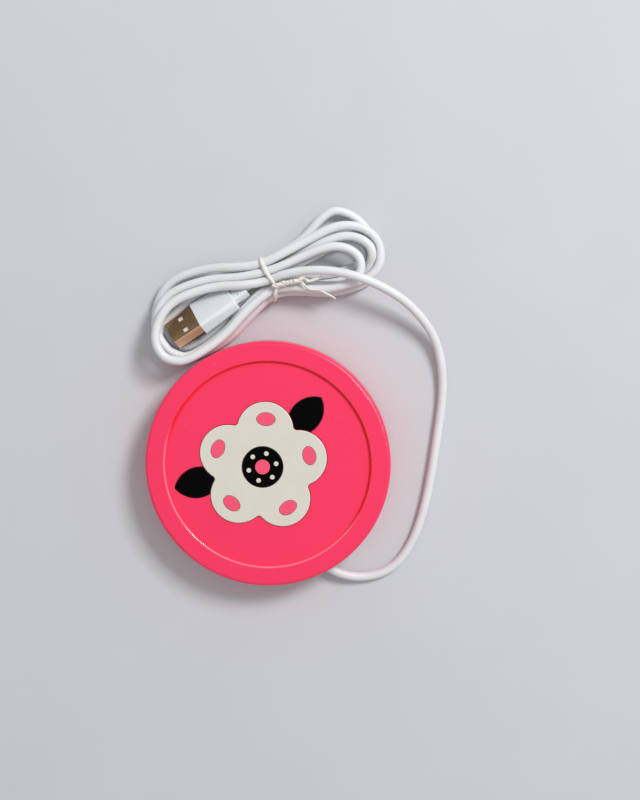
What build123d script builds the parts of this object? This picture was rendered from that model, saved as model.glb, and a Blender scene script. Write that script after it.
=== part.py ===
"""Electric mug warmer: moulded soft cover, heater stack, base, USB lead and plug.

Millimetres, +Z up. The origin is the bottom centre of the round body, on the surface it stands on.
"""
import os
from math import atan2, cos, degrees, radians, sin, tan

from build123d import *

# ---------------------------------------------------------------- round body
body_radius = 48.0
body_height = 15.0
foot_projection = 0.8        # how far the feet stand below the base
skirt_wall = 2.0
rim_width = 7.8              # flat ring round the warming surface
recess_depth = 1.2           # rim top down to the warming surface
cover_floor = 1.6            # soft cover over the hot plate
rim_round = 1.4
step_round = 0.5
seam_gap = 0.1               # between the skirt and the base flange
fit_gap = 0.15               # between shells that slip into each other

# ---------------------------------------------------------------- inlaid flower
inlay_gap = 0.2              # groove left round each colour
inlay_depth = 1.0
inlay_rise = 0.45            # how far the blossom stands above the warming surface
inlay_edge = 0.35            # rounding of the raised edges
flower_centre = (-2.0, -1.0)
flower_turn = 14.0
petal_count = 5
petal_radius = 11.0
petal_reach = 14.6           # flower centre to petal centre
blossom_core = 13.6
petal_notch = 1.4            # rounding where two petals meet
eye_radius = 8.0
eye_depth = 0.7
eye_rise = 0.15
bud_radius = 2.9
bud_depth = 0.5
bud_rise = 0.15
seed_radius = 0.9
seed_count = 6
seed_ring = 5.5
blush_length = 7.2
blush_width = 5.0
blush_reach = 18.8
blush_depth = 0.5
blush_rise = 0.12
leaf_length = 19.0
leaf_width = 12.0
leaf_reach = 26.0            # flower centre to leaf centre
leaf_rise = 0.15
leaf_angles = (50.0, 194.0)  # each leaf lies in the notch between two petals

# ---------------------------------------------------------------- heater stack
plate_thickness = 1.2
tape_inset = 1.0             # tape edge inside the frame
tape_thickness = 0.2
film_inset = 0.5             # film edge inside the tape
film_thickness = 0.1
trace_thickness = 0.1
trace_width = 1.6
trace_pitch = 2.6
trace_inner = 16.0
trace_margin = 1.0           # bare film round the outer ring
trace_gap = 6.0              # half the gap where the rings turn back
pad_angle = -75.0
pad_reach = 14.0
pad_spacing = 6.4
pad_radius = 2.2
solder_window = 1.7
insulation_thickness = 2.0
corridor_width = 16.0        # free way for the lead through ribs and insulation
pad_clearing = 7.5

# ---------------------------------------------------------------- base and frame
base_floor = 1.8
base_flange = 1.2
flange_inset = 0.8
base_wall = 1.8
frame_wall = 2.7             # frame round the edge of the hot plate
frame_lip = 3.5              # how far the frame reaches under the plate
frame_ledge = 1.5
screw_count = 4
screw_inset = 4.85           # base wall's outside to the screw axes
boss_radius = 2.8
post_height = 1.8
screw_radius = 1.2
screw_head_radius = 2.3
screw_head_height = 1.4
screw_hole_gap = 0.3
pilot_gap = 0.05
head_gap = 0.3
head_recess = 0.1            # screw head below the base underside
cross_width = 0.7
cross_length = 2.6
cross_depth = 0.6
rib_inset = 3.0              # edge of the insulation to the outer rib
rib_spacing = 13.0
rib_wall = 1.4
foot_count = 4
foot_inset = 18.0            # body edge to the middle of a foot
foot_radius = 5.0
foot_seat = 0.8
foot_edge = 0.3

# ---------------------------------------------------------------- cord outlet
cord_diameter = 3.5
outlet_inset = 7.2           # body edge to the mouth of the bush
outlet_angle = -64.44        # where round the body the lead leaves
outlet_heading = -46.0
notch_half = 6.5
notch_wall = 1.5
notch_back = 1.6
bush_height = 4.8
bush_snout = 2.4
bush_flange = 1.2
bush_width = 7.0
bush_neck_width = 5.0
bush_wall = 0.65
bush_gap = 0.1
bore_gap = 0.05
inner_cord_length = 17.0
clamp_setback = 11.5         # bush mouth to middle of the clamp
clamp_length = 13.0
clamp_width = 4.0
clamp_thickness = 1.2
clamp_screw_spacing = 8.6
clamp_post_radius = 1.8
clamp_screw_radius = 0.9
clamp_head_radius = 1.6
clamp_head_height = 0.8
clamp_screw_length = 4.5
lead_diameter = 1.3
lead_spacing = 1.5
lead_straight = 4.0
lead_bend = 1.6
solder_height = 0.6
solder_root = 0.85

# ---------------------------------------------------------------- free lead
first_run = 6.0              # straight stretch out of the bush
lead_route = [
    (28.4, -45.4, 3.4), (37.4, -46.9, 1.8), (46.3, -44.7, 1.8), (53.4, -38.7, 1.8),
    (59.3, -27.4, 1.8), (63.4, -11.0, 1.8), (66.4, 9.0, 1.8), (69.2, 30.5, 1.8),
    (65.8, 49.0, 4.0), (57.0, 62.1, 7.0), (46.6, 68.4, 7.0)]
run_share = 0.45             # share of the shorter run that an arc may use

# ---------------------------------------------------------------- bow-tie hank
hank_waist = (-0.7, 71.7)    # where the tie goes round the bundle
hank_heading = 25.0
hank_height = 12.0
hank_edge = 2.0
hank_corner = 9.0
hank_gap = 0.4               # between the turns and the round body
waist_half = 9.0
waist_straight = 5.5
right_lobe = [(29.0, 17.5), (47.0, 13.5), (48.0, -18.5), (37.0, -27.5), (20.0, -20.0)]
left_lobe = [(-21.0, -15.5), (-39.0, -19.5), (-53.0, -15.5), (-53.0, 7.0), (-38.0, 18.5), (-20.0, 16.5)]
right_window = [(18.0, 2.0), (31.0, 9.5), (41.0, 7.0), (41.5, -8.0), (33.0, -13.5)]
window_corner = 3.5
seat_width = 12.0            # flat on the hank where the free lead runs in

# ---------------------------------------------------------------- twist tie
tie_thickness = 0.8
tie_width = 2.4
tie_groove_gap = 0.3
tie_corner = 2.6
tie_stem_radius = 1.2
tie_root_radius = 0.9
tie_stem_lift = 0.15
tie_stem = [(0.0, -2.0), (11.0, -6.7)]
tie_tails = [[(11.0, -6.7), (15.0, -4.9), (19.7, -7.4)], [(11.0, -6.7), (13.6, -11.6), (21.5, -17.4)]]
tail_width = 1.2
tail_thickness = 0.5

# ---------------------------------------------------------------- USB plug
plug_back = (-14.3, 65.4, 6.9)   # centre of the overmould's rear face
plug_heading = 213.7
plug_roll = 43.0
overmould_length = 16.3
overmould_width = 13.5
overmould_thickness = 6.3
overmould_corner = 0.9         # rounding of its long edges at the shell's end
overmould_taper = 0.5          # how much narrower and thinner it is at the cord's end
overmould_rear_corner = 2.2    # rounding of its long edges at the cord's end
overmould_round = 0.5          # rounding of its rear face
neck_length = 6.0
neck_width = 7.6
neck_thickness = 3.8
neck_corner = 1.0
neck_hole = (-2.2, 2.6)       # small hole that keys the neck to its inner mould
neck_hole_radius = 0.4
shell_width = 12.0
shell_height = 4.5
shell_length = 12.0
shell_wall = 0.3
shell_corner = 0.6
shell_buried = 4.0
latch_size = 2.1
latch_spacing = 6.4
latch_setback = 6.2
tongue_thickness = 1.9
tongue_setback = 1.0
tongue_gap = 0.05
contact_count = 4
contact_pitch = 2.3
contact_width = 1.0
contact_thickness = 0.15
contact_length = 7.5
contact_setback = 1.6
mould_length = 9.0
mould_width = 11.0
mould_thickness = 4.0
plug_window_half = 7.6
plug_window_neck = 4.6
plug_window_front = 1.5

# ---------------------------------------------------------------- heights worked out from the sizes above
base_under = foot_projection
floor_top = base_under + base_floor
flange_top = base_under + base_flange
warm_surface = body_height - recess_depth
cover_under = warm_surface - cover_floor
plate_under = cover_under - plate_thickness
wall_top = plate_under - frame_ledge
tape_under = plate_under - tape_thickness
upper_film_under = tape_under - film_thickness
trace_under = upper_film_under - trace_thickness
lower_film_under = trace_under - film_thickness
insulation_under = lower_film_under - insulation_thickness
recess_radius = body_radius - rim_width
skirt_inner = body_radius - skirt_wall
base_wall_radius = skirt_inner - fit_gap
base_inner = base_wall_radius - base_wall
plate_radius = base_wall_radius - frame_wall - fit_gap
frame_inner = plate_radius - frame_lip
tape_radius = frame_inner - tape_inset
film_radius = tape_radius - film_inset
trace_turns = int((film_radius - trace_margin - trace_inner) / (2 * trace_pitch))
trace_rings = 2 * trace_turns + 1
rib_radii = (film_radius - rib_inset - rib_spacing, film_radius - rib_inset)
screw_circle = base_wall_radius - screw_inset
foot_circle = body_radius - foot_inset
post_top = floor_top + post_height
notch_top = floor_top + bush_height + 2 * bush_gap
cord_radius = cord_diameter / 2
outlet_reach = body_radius - outlet_inset
outlet_height = floor_top + bush_gap + bush_height / 2
clamp_under = outlet_height + cord_radius
overlap = 1.0                # extra length of a cutting tool past the face it cuts


def disc(radius, bottom, top, at=(0.0, 0.0)):
    """Upright cylinder between two heights."""
    return Pos(at[0], at[1], (bottom + top) / 2) * Cylinder(radius, top - bottom)


def ring(outer, inner, bottom, top):
    """Upright tube between two heights."""
    return disc(outer, bottom, top) - disc(inner, bottom - overlap, top + overlap)


def slab(face, bottom, top):
    """Flat outline raised between two heights."""
    return extrude(Pos(0, 0, bottom) * face, top - bottom)


def round_edges_at(solid, height, radius):
    """Round every edge that lies flat at one height."""
    level = solid.edges().filter_by(lambda e: abs(e.bounding_box().min.Z - height) < 1e-4
                                    and abs(e.bounding_box().max.Z - height) < 1e-4)
    return fillet(level, radius)


def circle_points(count, radius, start=0.0):
    """Evenly spaced points on a circle about the body's axis."""
    step = 360.0 / count
    return [(radius * cos(radians(start + i * step)), radius * sin(radians(start + i * step)))
            for i in range(count)]


def outlet_frame(along=0.0, height=0.0):
    """Location with X pointing out of the cord outlet, at a distance along it."""
    mouth = outlet_mouth()
    return Location((mouth.X, mouth.Y, height), (0, 0, outlet_heading)) * Pos(along, 0, 0)


def outlet_mouth():
    angle = radians(outlet_angle)
    return Vector(outlet_reach * cos(angle), outlet_reach * sin(angle), outlet_height)


# ---------------------------------------------------------------- flower outlines
def blossom_outline(grow=0.0):
    """Five round petals about a core, with rounded notches."""
    x, y = flower_centre
    petals = Circle(blossom_core + grow)
    for i in range(petal_count):
        turn = flower_turn + i * 360.0 / petal_count
        petals += Rot(0, 0, turn) * Pos(petal_reach, 0) * Circle(petal_radius + grow)
    petals = fillet(petals.vertices(), petal_notch)
    return Pos(x, y) * petals


def leaf_outline(angle, grow=0.0):
    """Pointed leaf between two petals, cut short by the blossom."""
    x, y = flower_centre
    half_length = leaf_length / 2 + grow
    half_width = leaf_width / 2 + grow
    arc_radius = (half_length ** 2 + half_width ** 2) / (2 * half_width)
    shift = arc_radius - half_width
    lens = (Pos(0, shift) * Circle(arc_radius)) & (Pos(0, -shift) * Circle(arc_radius))
    lens = Pos(x, y) * Rot(0, 0, angle) * Pos(leaf_reach, 0) * lens
    return lens - blossom_outline(inlay_gap - grow)


def blush_outline(index, grow=0.0):
    """Oval mark near the tip of one petal."""
    x, y = flower_centre
    turn = flower_turn + index * 360.0 / petal_count
    oval = Ellipse(blush_length / 2 + grow, blush_width / 2 + grow)
    return Pos(x, y) * Rot(0, 0, turn) * Pos(blush_reach, 0) * Rot(0, 0, 90) * oval


def seed_points():
    """Centres of the pale seeds round the bud."""
    x, y = flower_centre
    return [(x + px, y + py) for px, py in circle_points(seed_count, seed_ring, flower_turn)]


# ---------------------------------------------------------------- cover and inlays
def make_top_cover():
    cover = disc(body_radius, flange_top + seam_gap, body_height)
    cover = round_edges_at(cover, body_height, rim_round)
    cover -= disc(recess_radius, warm_surface, body_height + overlap)
    cover = round_edges_at(cover, body_height, step_round)
    cover -= disc(skirt_inner, flange_top, cover_under)
    pocket_floor = warm_surface - inlay_depth
    cover -= slab(blossom_outline(inlay_gap), pocket_floor, body_height)
    for angle in leaf_angles:
        cover -= slab(leaf_outline(angle, inlay_gap), pocket_floor, body_height)
    return cover - notch_space()


def make_blossom():
    top = warm_surface + inlay_rise
    blossom = slab(blossom_outline(), warm_surface - inlay_depth, top)
    blossom = round_edges_at(blossom, top, inlay_edge)
    blossom -= disc(eye_radius + inlay_gap, top - eye_depth, body_height, flower_centre)
    for i in range(petal_count):
        blossom -= slab(blush_outline(i, inlay_gap), top - blush_depth, body_height)
    return blossom


def make_leaf(angle):
    top = warm_surface + leaf_rise
    leaf = slab(leaf_outline(angle), warm_surface - inlay_depth, top)
    return round_edges_at(leaf, top, leaf_rise)


def make_eye():
    blossom_top = warm_surface + inlay_rise
    top = blossom_top + eye_rise
    eye = disc(eye_radius, blossom_top - eye_depth, top, flower_centre)
    eye = round_edges_at(eye, top, eye_rise)
    eye -= disc(bud_radius + inlay_gap, top - bud_depth, body_height, flower_centre)
    for point in seed_points():
        eye -= disc(seed_radius, top - bud_depth, body_height, point)
    return eye


def make_bud():
    seat = warm_surface + inlay_rise + eye_rise - bud_depth
    top = warm_surface + inlay_rise + eye_rise + bud_rise
    return round_edges_at(disc(bud_radius, seat, top, flower_centre), top, bud_rise)


def make_seeds():
    seat = warm_surface + inlay_rise + eye_rise - bud_depth
    top = warm_surface + inlay_rise + eye_rise
    return Compound(children=[disc(seed_radius, seat, top, point) for point in seed_points()])


def make_blush_marks():
    seat = warm_surface + inlay_rise - blush_depth
    top = warm_surface + inlay_rise + blush_rise
    marks = [round_edges_at(slab(blush_outline(i), seat, top), top, blush_rise)
             for i in range(petal_count)]
    return Compound(children=marks)


# ---------------------------------------------------------------- heater stack
def pad_frame():
    return Rot(0, 0, pad_angle)


def pad_points():
    """Where the two leads are soldered to the heating trace."""
    spots = []
    for side in (1, -1):
        spot = pad_frame() * Pos(pad_reach, side * pad_spacing / 2, 0)
        spots.append((spot.position.X, spot.position.Y))
    return spots


def corridor(bottom, top):
    """Space kept clear for the lead, its clamp and the soldered ends."""
    length = inner_cord_length + clamp_setback + notch_half
    way = outlet_frame(-length / 2, (bottom + top) / 2) * Box(length, corridor_width, top - bottom)
    middle = pad_frame() * Pos(pad_reach, 0, 0)
    clearing = disc(pad_clearing, bottom, top, (middle.position.X, middle.position.Y))
    return way + clearing


def make_heat_plate():
    return disc(plate_radius, plate_under, cover_under)


def make_thermal_tape():
    return disc(tape_radius, tape_under, plate_under)


def make_upper_film():
    return disc(film_radius, upper_film_under, tape_under)


def make_lower_film():
    film = disc(film_radius, lower_film_under, trace_under)
    for point in pad_points():
        film -= disc(solder_window, lower_film_under - overlap, trace_under + overlap, point)
    return film


def make_heating_trace():
    """One foil track that winds out ring by ring, turning back at a gap."""
    half = trace_width / 2
    outer_ring = trace_inner + (trace_rings - 1) * trace_pitch
    gap_mask = Pos(outer_ring, 0) * Rectangle(2 * outer_ring, 2 * trace_gap)
    track = Sketch()
    for i in range(trace_rings):
        radius = trace_inner + i * trace_pitch
        track += Circle(radius + half) - Circle(radius - half) - gap_mask
    for i in range(trace_rings - 1):
        side = 1 if i % 2 == 0 else -1
        start = trace_inner + i * trace_pitch
        reach = (start ** 2 - trace_gap ** 2) ** 0.5
        turn_back = Pos(reach + trace_pitch / 2, side * (trace_gap - half))
        track += turn_back * Rectangle(trace_pitch + 3 * half, trace_width)
    inner_reach = (trace_inner ** 2 - trace_gap ** 2) ** 0.5
    outer_reach = (outer_ring ** 2 - trace_gap ** 2) ** 0.5
    pad_side = pad_spacing / 2
    for side in (1, -1):
        track += Pos(pad_reach, side * pad_side) * Circle(pad_radius)
    inner_tie_length = trace_gap - pad_side + half
    track += Pos(inner_reach, -pad_side - inner_tie_length / 2) * Rectangle(trace_width, inner_tie_length)
    out_length = outer_reach - pad_reach
    track += Pos(pad_reach + out_length / 2, pad_side) * Rectangle(out_length, trace_width)
    outer_tie_length = trace_gap - pad_side + 2 * half
    outer_tie_middle = pad_side - half + outer_tie_length / 2
    track += Pos(outer_reach, outer_tie_middle) * Rectangle(trace_width, outer_tie_length)
    return pad_frame() * slab(track, trace_under, upper_film_under)


def make_insulation_pad():
    pad = disc(film_radius, insulation_under, lower_film_under)
    return pad - corridor(insulation_under - overlap, lower_film_under + overlap)


# ---------------------------------------------------------------- base, frame and fasteners
def notch_space():
    """Open notch in the side of the body where the lead comes out."""
    length = body_radius
    height = notch_top + overlap
    middle = notch_top - height / 2
    return outlet_frame(length / 2 - bush_snout, middle) * Box(length, 2 * notch_half, height)


def make_base_shell():
    base = disc(body_radius - flange_inset, base_under, flange_top)
    base += disc(base_wall_radius, flange_top, floor_top)
    base += ring(base_wall_radius, base_inner, floor_top, wall_top)
    for radius in rib_radii:
        base += ring(radius + rib_wall / 2, radius - rib_wall / 2, floor_top, insulation_under)
    base -= corridor(floor_top, insulation_under + overlap) & disc(film_radius, 0, body_height)
    housing_back = bush_snout + notch_back
    housing_length = body_radius
    housing = outlet_frame(housing_length / 2 - housing_back, (floor_top + wall_top) / 2)
    housing = housing * Box(housing_length, 2 * (notch_half + notch_wall), wall_top - floor_top)
    base += housing & disc(base_inner + fit_gap, floor_top, wall_top)
    base -= notch_space()
    slot_height = notch_top - floor_top
    slot = outlet_frame(-bush_snout - notch_back / 2, floor_top + slot_height / 2)
    base -= slot * Box(2 * notch_back, bush_neck_width + 2 * bush_gap, slot_height)
    for point in circle_points(screw_count, screw_circle):
        base += disc(boss_radius, floor_top, post_top, point)
        base -= disc(screw_radius + screw_hole_gap, 0, post_top + overlap, point)
        base -= disc(screw_head_radius + head_gap, 0, screw_seat(), point)
    for point in foot_points():
        base -= disc(foot_radius + fit_gap, 0, base_under + foot_seat, point)
    cradle_height = outlet_height - cord_radius - floor_top
    cradle = outlet_frame(-clamp_setback, floor_top + cradle_height / 2)
    base += cradle * Box(clamp_width, cord_diameter, cradle_height)
    for point in clamp_screw_points():
        base += disc(clamp_post_radius, floor_top, clamp_under, point)
        base -= disc(clamp_screw_radius + pilot_gap, clamp_under - clamp_screw_length, body_height, point)
    return base


def screw_seat():
    return base_under + head_recess + screw_head_height


def foot_points():
    return circle_points(foot_count, foot_circle, 180.0 / foot_count)


def clamp_screw_points():
    spots = []
    for side in (1, -1):
        spot = outlet_frame(-clamp_setback) * Pos(0, side * clamp_screw_spacing / 2, 0)
        spots.append((spot.position.X, spot.position.Y))
    return spots


def make_plate_frame():
    """Ring that holds the hot plate up against the cover and takes the base screws."""
    frame = ring(base_wall_radius, frame_inner, wall_top, plate_under)
    frame += ring(base_wall_radius, plate_radius + fit_gap, plate_under, cover_under)
    for point in circle_points(screw_count, screw_circle):
        frame += disc(boss_radius, post_top, wall_top, point)
        frame -= disc(screw_radius + pilot_gap, post_top - overlap, wall_top + frame_ledge / 2, point)
    return frame


def screw(point, shank, head, head_height, seat, length, up):
    """Pan-head screw with a cross recess; up is 1 when its point is above its head."""
    shank_end = seat + up * length
    body = disc(shank, min(seat, shank_end), max(seat, shank_end), point)
    head_end = seat - up * head_height
    body += disc(head, min(seat, head_end), max(seat, head_end), point)
    for turn in (0, 90):
        slot = Location((point[0], point[1], head_end), (0, 0, turn))
        body -= slot * Box(cross_length * head / screw_head_radius, cross_width, 2 * cross_depth)
    return body


def make_base_screws():
    length = wall_top - screw_seat()
    screws = [screw(p, screw_radius, screw_head_radius, screw_head_height, screw_seat(), length, 1)
              for p in circle_points(screw_count, screw_circle)]
    return Compound(children=screws)


def make_foot(point):
    foot = disc(foot_radius, 0, base_under + foot_seat, point)
    return round_edges_at(foot, 0, foot_edge)


# ---------------------------------------------------------------- cord outlet and wiring
def make_cord_bush():
    """Strain relief with a flange on each side of the slotted wall."""
    height = bush_height
    snout = outlet_frame(-bush_snout / 2, outlet_height) * Box(bush_snout, bush_width, height)
    snout = fillet(snout.edges().group_by(lambda e: (e.center() - outlet_mouth()).length)[0], bush_wall / 2)
    neck_middle = -bush_snout - notch_back / 2
    neck = outlet_frame(neck_middle, outlet_height) * Box(notch_back, bush_neck_width, height)
    flange_middle = -bush_snout - notch_back - bush_flange / 2
    flange = outlet_frame(flange_middle, outlet_height) * Box(bush_flange, bush_width, height)
    return snout + neck + flange - cord_stub(cord_radius + bore_gap, overlap)


def cord_stub(radius, past=0.0):
    """Straight round rod along the outlet, from inside the body to the bush mouth."""
    length = inner_cord_length + past
    middle = past - length / 2
    return outlet_frame(middle, outlet_height) * Rot(0, 90, 0) * Cylinder(radius, length)


def make_inner_cord():
    return cord_stub(cord_radius)


def make_cord_clamp():
    bar = outlet_frame(-clamp_setback, clamp_under + clamp_thickness / 2)
    bar = bar * Box(clamp_width, clamp_length, clamp_thickness)
    for point in clamp_screw_points():
        bar -= disc(clamp_screw_radius + pilot_gap, 0, body_height, point)
    return bar


def make_clamp_screws():
    seat = clamp_under + clamp_thickness
    length = clamp_screw_length
    screws = [screw(p, clamp_screw_radius, clamp_head_radius, clamp_head_height, seat, length, -1)
              for p in clamp_screw_points()]
    return Compound(children=screws)


def solder_foot():
    return trace_under - solder_height


def make_lead(index):
    """Insulated wire from the end of the inner cord up to one solder pad."""
    side = 1 - 2 * index
    pad = pad_points()[index]
    start = outlet_frame(-inner_cord_length, outlet_height) * Pos(0, side * lead_spacing / 2, 0)
    straight = start * Pos(-lead_straight, 0, 0)
    low = Vector(pad[0], pad[1], outlet_height)
    high = Vector(pad[0], pad[1], solder_foot())
    path = FilletPolyline(start.position, straight.position, low, high, radius=lead_bend)
    section = Plane(start.position, z_dir=path % 0) * Circle(lead_diameter / 2)
    return sweep(section, path)


def make_solder_joints():
    blobs = [Pos(x, y, solder_foot() + solder_height / 2)
             * Cone(solder_root, solder_window - inlay_gap, solder_height) for x, y in pad_points()]
    return Compound(children=blobs)


# ---------------------------------------------------------------- free lead
def arc_radii(points):
    """Radius of the arc at each inner point: as large as its two runs allow."""
    radii = []
    for before, at, after in zip(points, points[1:], points[2:]):
        turn = (at - before).get_angle(after - at)
        shorter = min((at - before).length, (after - at).length)
        radii.append(run_share * shorter / tan(radians(turn / 2)))
    return radii


def lead_points():
    """Whole route: out of the bush, then along the chosen points."""
    bend = outlet_frame(first_run, outlet_height).position
    return [outlet_mouth(), bend] + [Vector(*p) for p in lead_route]


def make_cord_tube():
    points = lead_points()
    radii = arc_radii(points)
    path = FilletPolyline(*points, radius=radii)
    section = Plane(path @ 0, z_dir=path % 0) * Circle(cord_radius)
    tube = sweep(section, path)
    expected = path.length * section.area
    print("cord arc radii", [round(r, 1) for r in radii])
    print("cord tube length", round(path.length, 1), "volume ratio", round(tube.volume / expected, 4))
    return tube


# ---------------------------------------------------------------- hank and tie
def hank_frame(height=0.0):
    return Location((hank_waist[0], hank_waist[1], height), (0, 0, hank_heading))


def plug_frame():
    """Location with X out of the plug's mouth and Z out of its broad face."""
    heading = radians(plug_heading)
    roll = radians(plug_roll)
    axis = Vector(cos(heading), sin(heading), 0)
    across = Vector(sin(heading), -cos(heading), 0)
    broad = Vector(0, 0, 1) * cos(roll) + across * sin(roll)
    return Plane(origin=plug_back, x_dir=axis, z_dir=broad).location


def plug_window():
    """Clear space for the plug inside the left lobe."""
    front = overmould_length + shell_length + plug_window_front
    back = -neck_length
    lying = Location((plug_back[0], plug_back[1], 0), (0, 0, plug_heading))
    wide = Pos(front / 2, 0) * Rectangle(front, 2 * plug_window_half)
    wide = fillet(wide.vertices().sort_by(Axis.X)[-2:], window_corner)
    narrow = Pos((back + overlap) / 2, 0) * Rectangle(overlap - back, 2 * plug_window_neck)
    return lying * slab(wide + narrow, -overlap, hank_height + overlap)


def make_cord_hank():
    """Outer shape of the tied turns: two open lobes and a narrow waist."""
    outline = [(waist_straight, waist_half)] + right_lobe + [(waist_straight, -waist_half)]
    outline += [(-waist_straight, -waist_half)] + left_lobe + [(-waist_straight, waist_half)]
    face = make_face(Polyline(*outline, close=True))
    rounded = fillet(face.vertices(), hank_corner)
    hank = slab(rounded, 0, hank_height)
    hank = round_edges_at(hank, hank_height, hank_edge)
    hank = round_edges_at(hank, 0, hank_edge)
    window = make_face(Polyline(*right_window, close=True))
    window = fillet(window.vertices(), window_corner)
    hank -= slab(window, -overlap, hank_height + overlap)
    hank -= tie_groove()
    hank = hank_frame() * hank - plug_window() - lead_seat()
    return hank - disc(body_radius + hank_gap, -overlap, hank_height + overlap)


def lead_seat():
    """Block that cuts the hank square to the lead's last run."""
    before, end = lead_points()[-2:]
    outward = Plane(end, x_dir=before - end, z_dir=(0, 0, 1)).location
    return outward * Pos(seat_width / 2, 0, 0) * Box(seat_width, 2 * seat_width, 4 * hank_height)


def tie_section(grow=0.0):
    """Rounded section of the bundle under the tie, standing across the hank."""
    width = 2 * waist_half + 2 * grow
    height = hank_height - 2 * tie_thickness + 2 * grow
    upright = Plane((0, 0, hank_height / 2), x_dir=(0, 1, 0), z_dir=(1, 0, 0))
    return upright * RectangleRounded(width, height, tie_corner + grow)


def tie_groove():
    """Material the tie presses away from the bundle."""
    width = tie_width + 2 * tie_groove_gap
    block = Pos(0, 0, hank_height / 2) * Box(width, 4 * waist_half, 2 * hank_height)
    inside = extrude(tie_section(), width / 2, both=True)
    return block - inside


def bearing(run):
    """Direction of a flat run in degrees from +X."""
    return degrees(atan2(run.Y, run.X))


def tail(points):
    """Flat strip of tie along a bent line on top of the hank."""
    strip = Sketch()
    for start, end in zip(points, points[1:]):
        run = Vector(*end) - Vector(*start)
        middle = (Vector(*start) + Vector(*end)) / 2
        strip += Pos(middle) * Rot(0, 0, bearing(run)) * SlotCenterToCenter(run.length, tail_width)
    return slab(strip, hank_height, hank_height + tail_thickness)


def make_twist_tie():
    band = extrude(tie_section(tie_thickness) - tie_section(), tie_width / 2, both=True)
    start, end = Vector(*tie_stem[0]), Vector(*tie_stem[1])
    run = end - start
    axis_height = hank_height + tie_stem_lift + tie_stem_radius
    lying = Pos((start + end) / 2) * Pos(0, 0, axis_height) * Rot(0, 0, bearing(run)) * Rot(0, 90, 0)
    tie = band + disc(tie_root_radius, hank_height - tie_thickness / 2, axis_height, tie_stem[0])
    tie += lying * Cylinder(tie_stem_radius, run.length)
    for points in tie_tails:
        tie += tail(points)
    return hank_frame() * tie


# ---------------------------------------------------------------- USB plug
def cut_across(width, height, corner, place):
    """Rounded rectangle across the plug's axis."""
    return Plane((place, 0, 0), x_dir=(0, 1, 0), z_dir=(1, 0, 0)) * RectangleRounded(width, height, corner)


def block(length, width, height, corner, start):
    """Rounded bar along the plug's axis, from start towards the mouth."""
    return extrude(cut_across(width, height, corner, start), length)


def make_plug_overmould():
    rear_width = overmould_width - overmould_taper
    rear_thickness = overmould_thickness - overmould_taper
    rear = cut_across(rear_width, rear_thickness, overmould_rear_corner, 0)
    front = cut_across(overmould_width, overmould_thickness, overmould_corner, overmould_length)
    body = loft([rear, front])
    body = fillet(body.edges().group_by(Axis.X)[0], overmould_round)
    body += block(neck_length, neck_width, neck_thickness, neck_corner, -neck_length)
    body -= Pos(*neck_hole) * Cylinder(neck_hole_radius, 2 * neck_thickness)
    shell_seat = overmould_length - shell_buried
    body -= block(shell_buried + overlap, shell_width, shell_height, shell_corner, shell_seat)
    body -= block(mould_length, mould_width, mould_thickness, shell_corner, shell_seat - mould_length)
    return plug_frame() * body


def make_plug_inner_mould():
    start = overmould_length - shell_buried - mould_length
    return plug_frame() * block(mould_length, mould_width, mould_thickness, shell_corner, start)


def make_plug_shell():
    start = overmould_length - shell_buried
    length = shell_buried + shell_length
    shell = block(length, shell_width, shell_height, shell_corner, start)
    inner_corner = shell_corner - shell_wall
    width = shell_width - 2 * shell_wall
    height = shell_height - 2 * shell_wall
    shell -= block(length + overlap, width, height, inner_corner, start - overlap / 2)
    latch_x = overmould_length + shell_length - latch_setback
    for side in (1, -1):
        spot = Pos(latch_x, side * latch_spacing / 2, 0)
        shell -= spot * Box(latch_size, latch_size, 2 * shell_height)
    return plug_frame() * shell


def tongue_face():
    """Height of the face that carries the contacts; the tongue lies against the broad upper wall."""
    return shell_height / 2 - shell_wall - tongue_gap - tongue_thickness


def make_plug_insulator():
    start = overmould_length - shell_buried
    length = shell_buried + shell_length - tongue_setback
    width = shell_width - 2 * shell_wall - 2 * tongue_gap
    middle = tongue_face() + tongue_thickness / 2
    tongue = Pos(0, 0, middle) * block(length, width, tongue_thickness, shell_corner, start)
    return plug_frame() * tongue


def make_plug_contacts():
    front = overmould_length + shell_length - tongue_setback - contact_setback
    contacts = []
    for i in range(contact_count):
        offset = (i - (contact_count - 1) / 2) * contact_pitch
        spot = Pos(front - contact_length / 2, offset, tongue_face() - contact_thickness / 2)
        contacts.append(plug_frame() * spot * Box(contact_length, contact_width, contact_thickness))
    return Compound(children=contacts)


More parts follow.
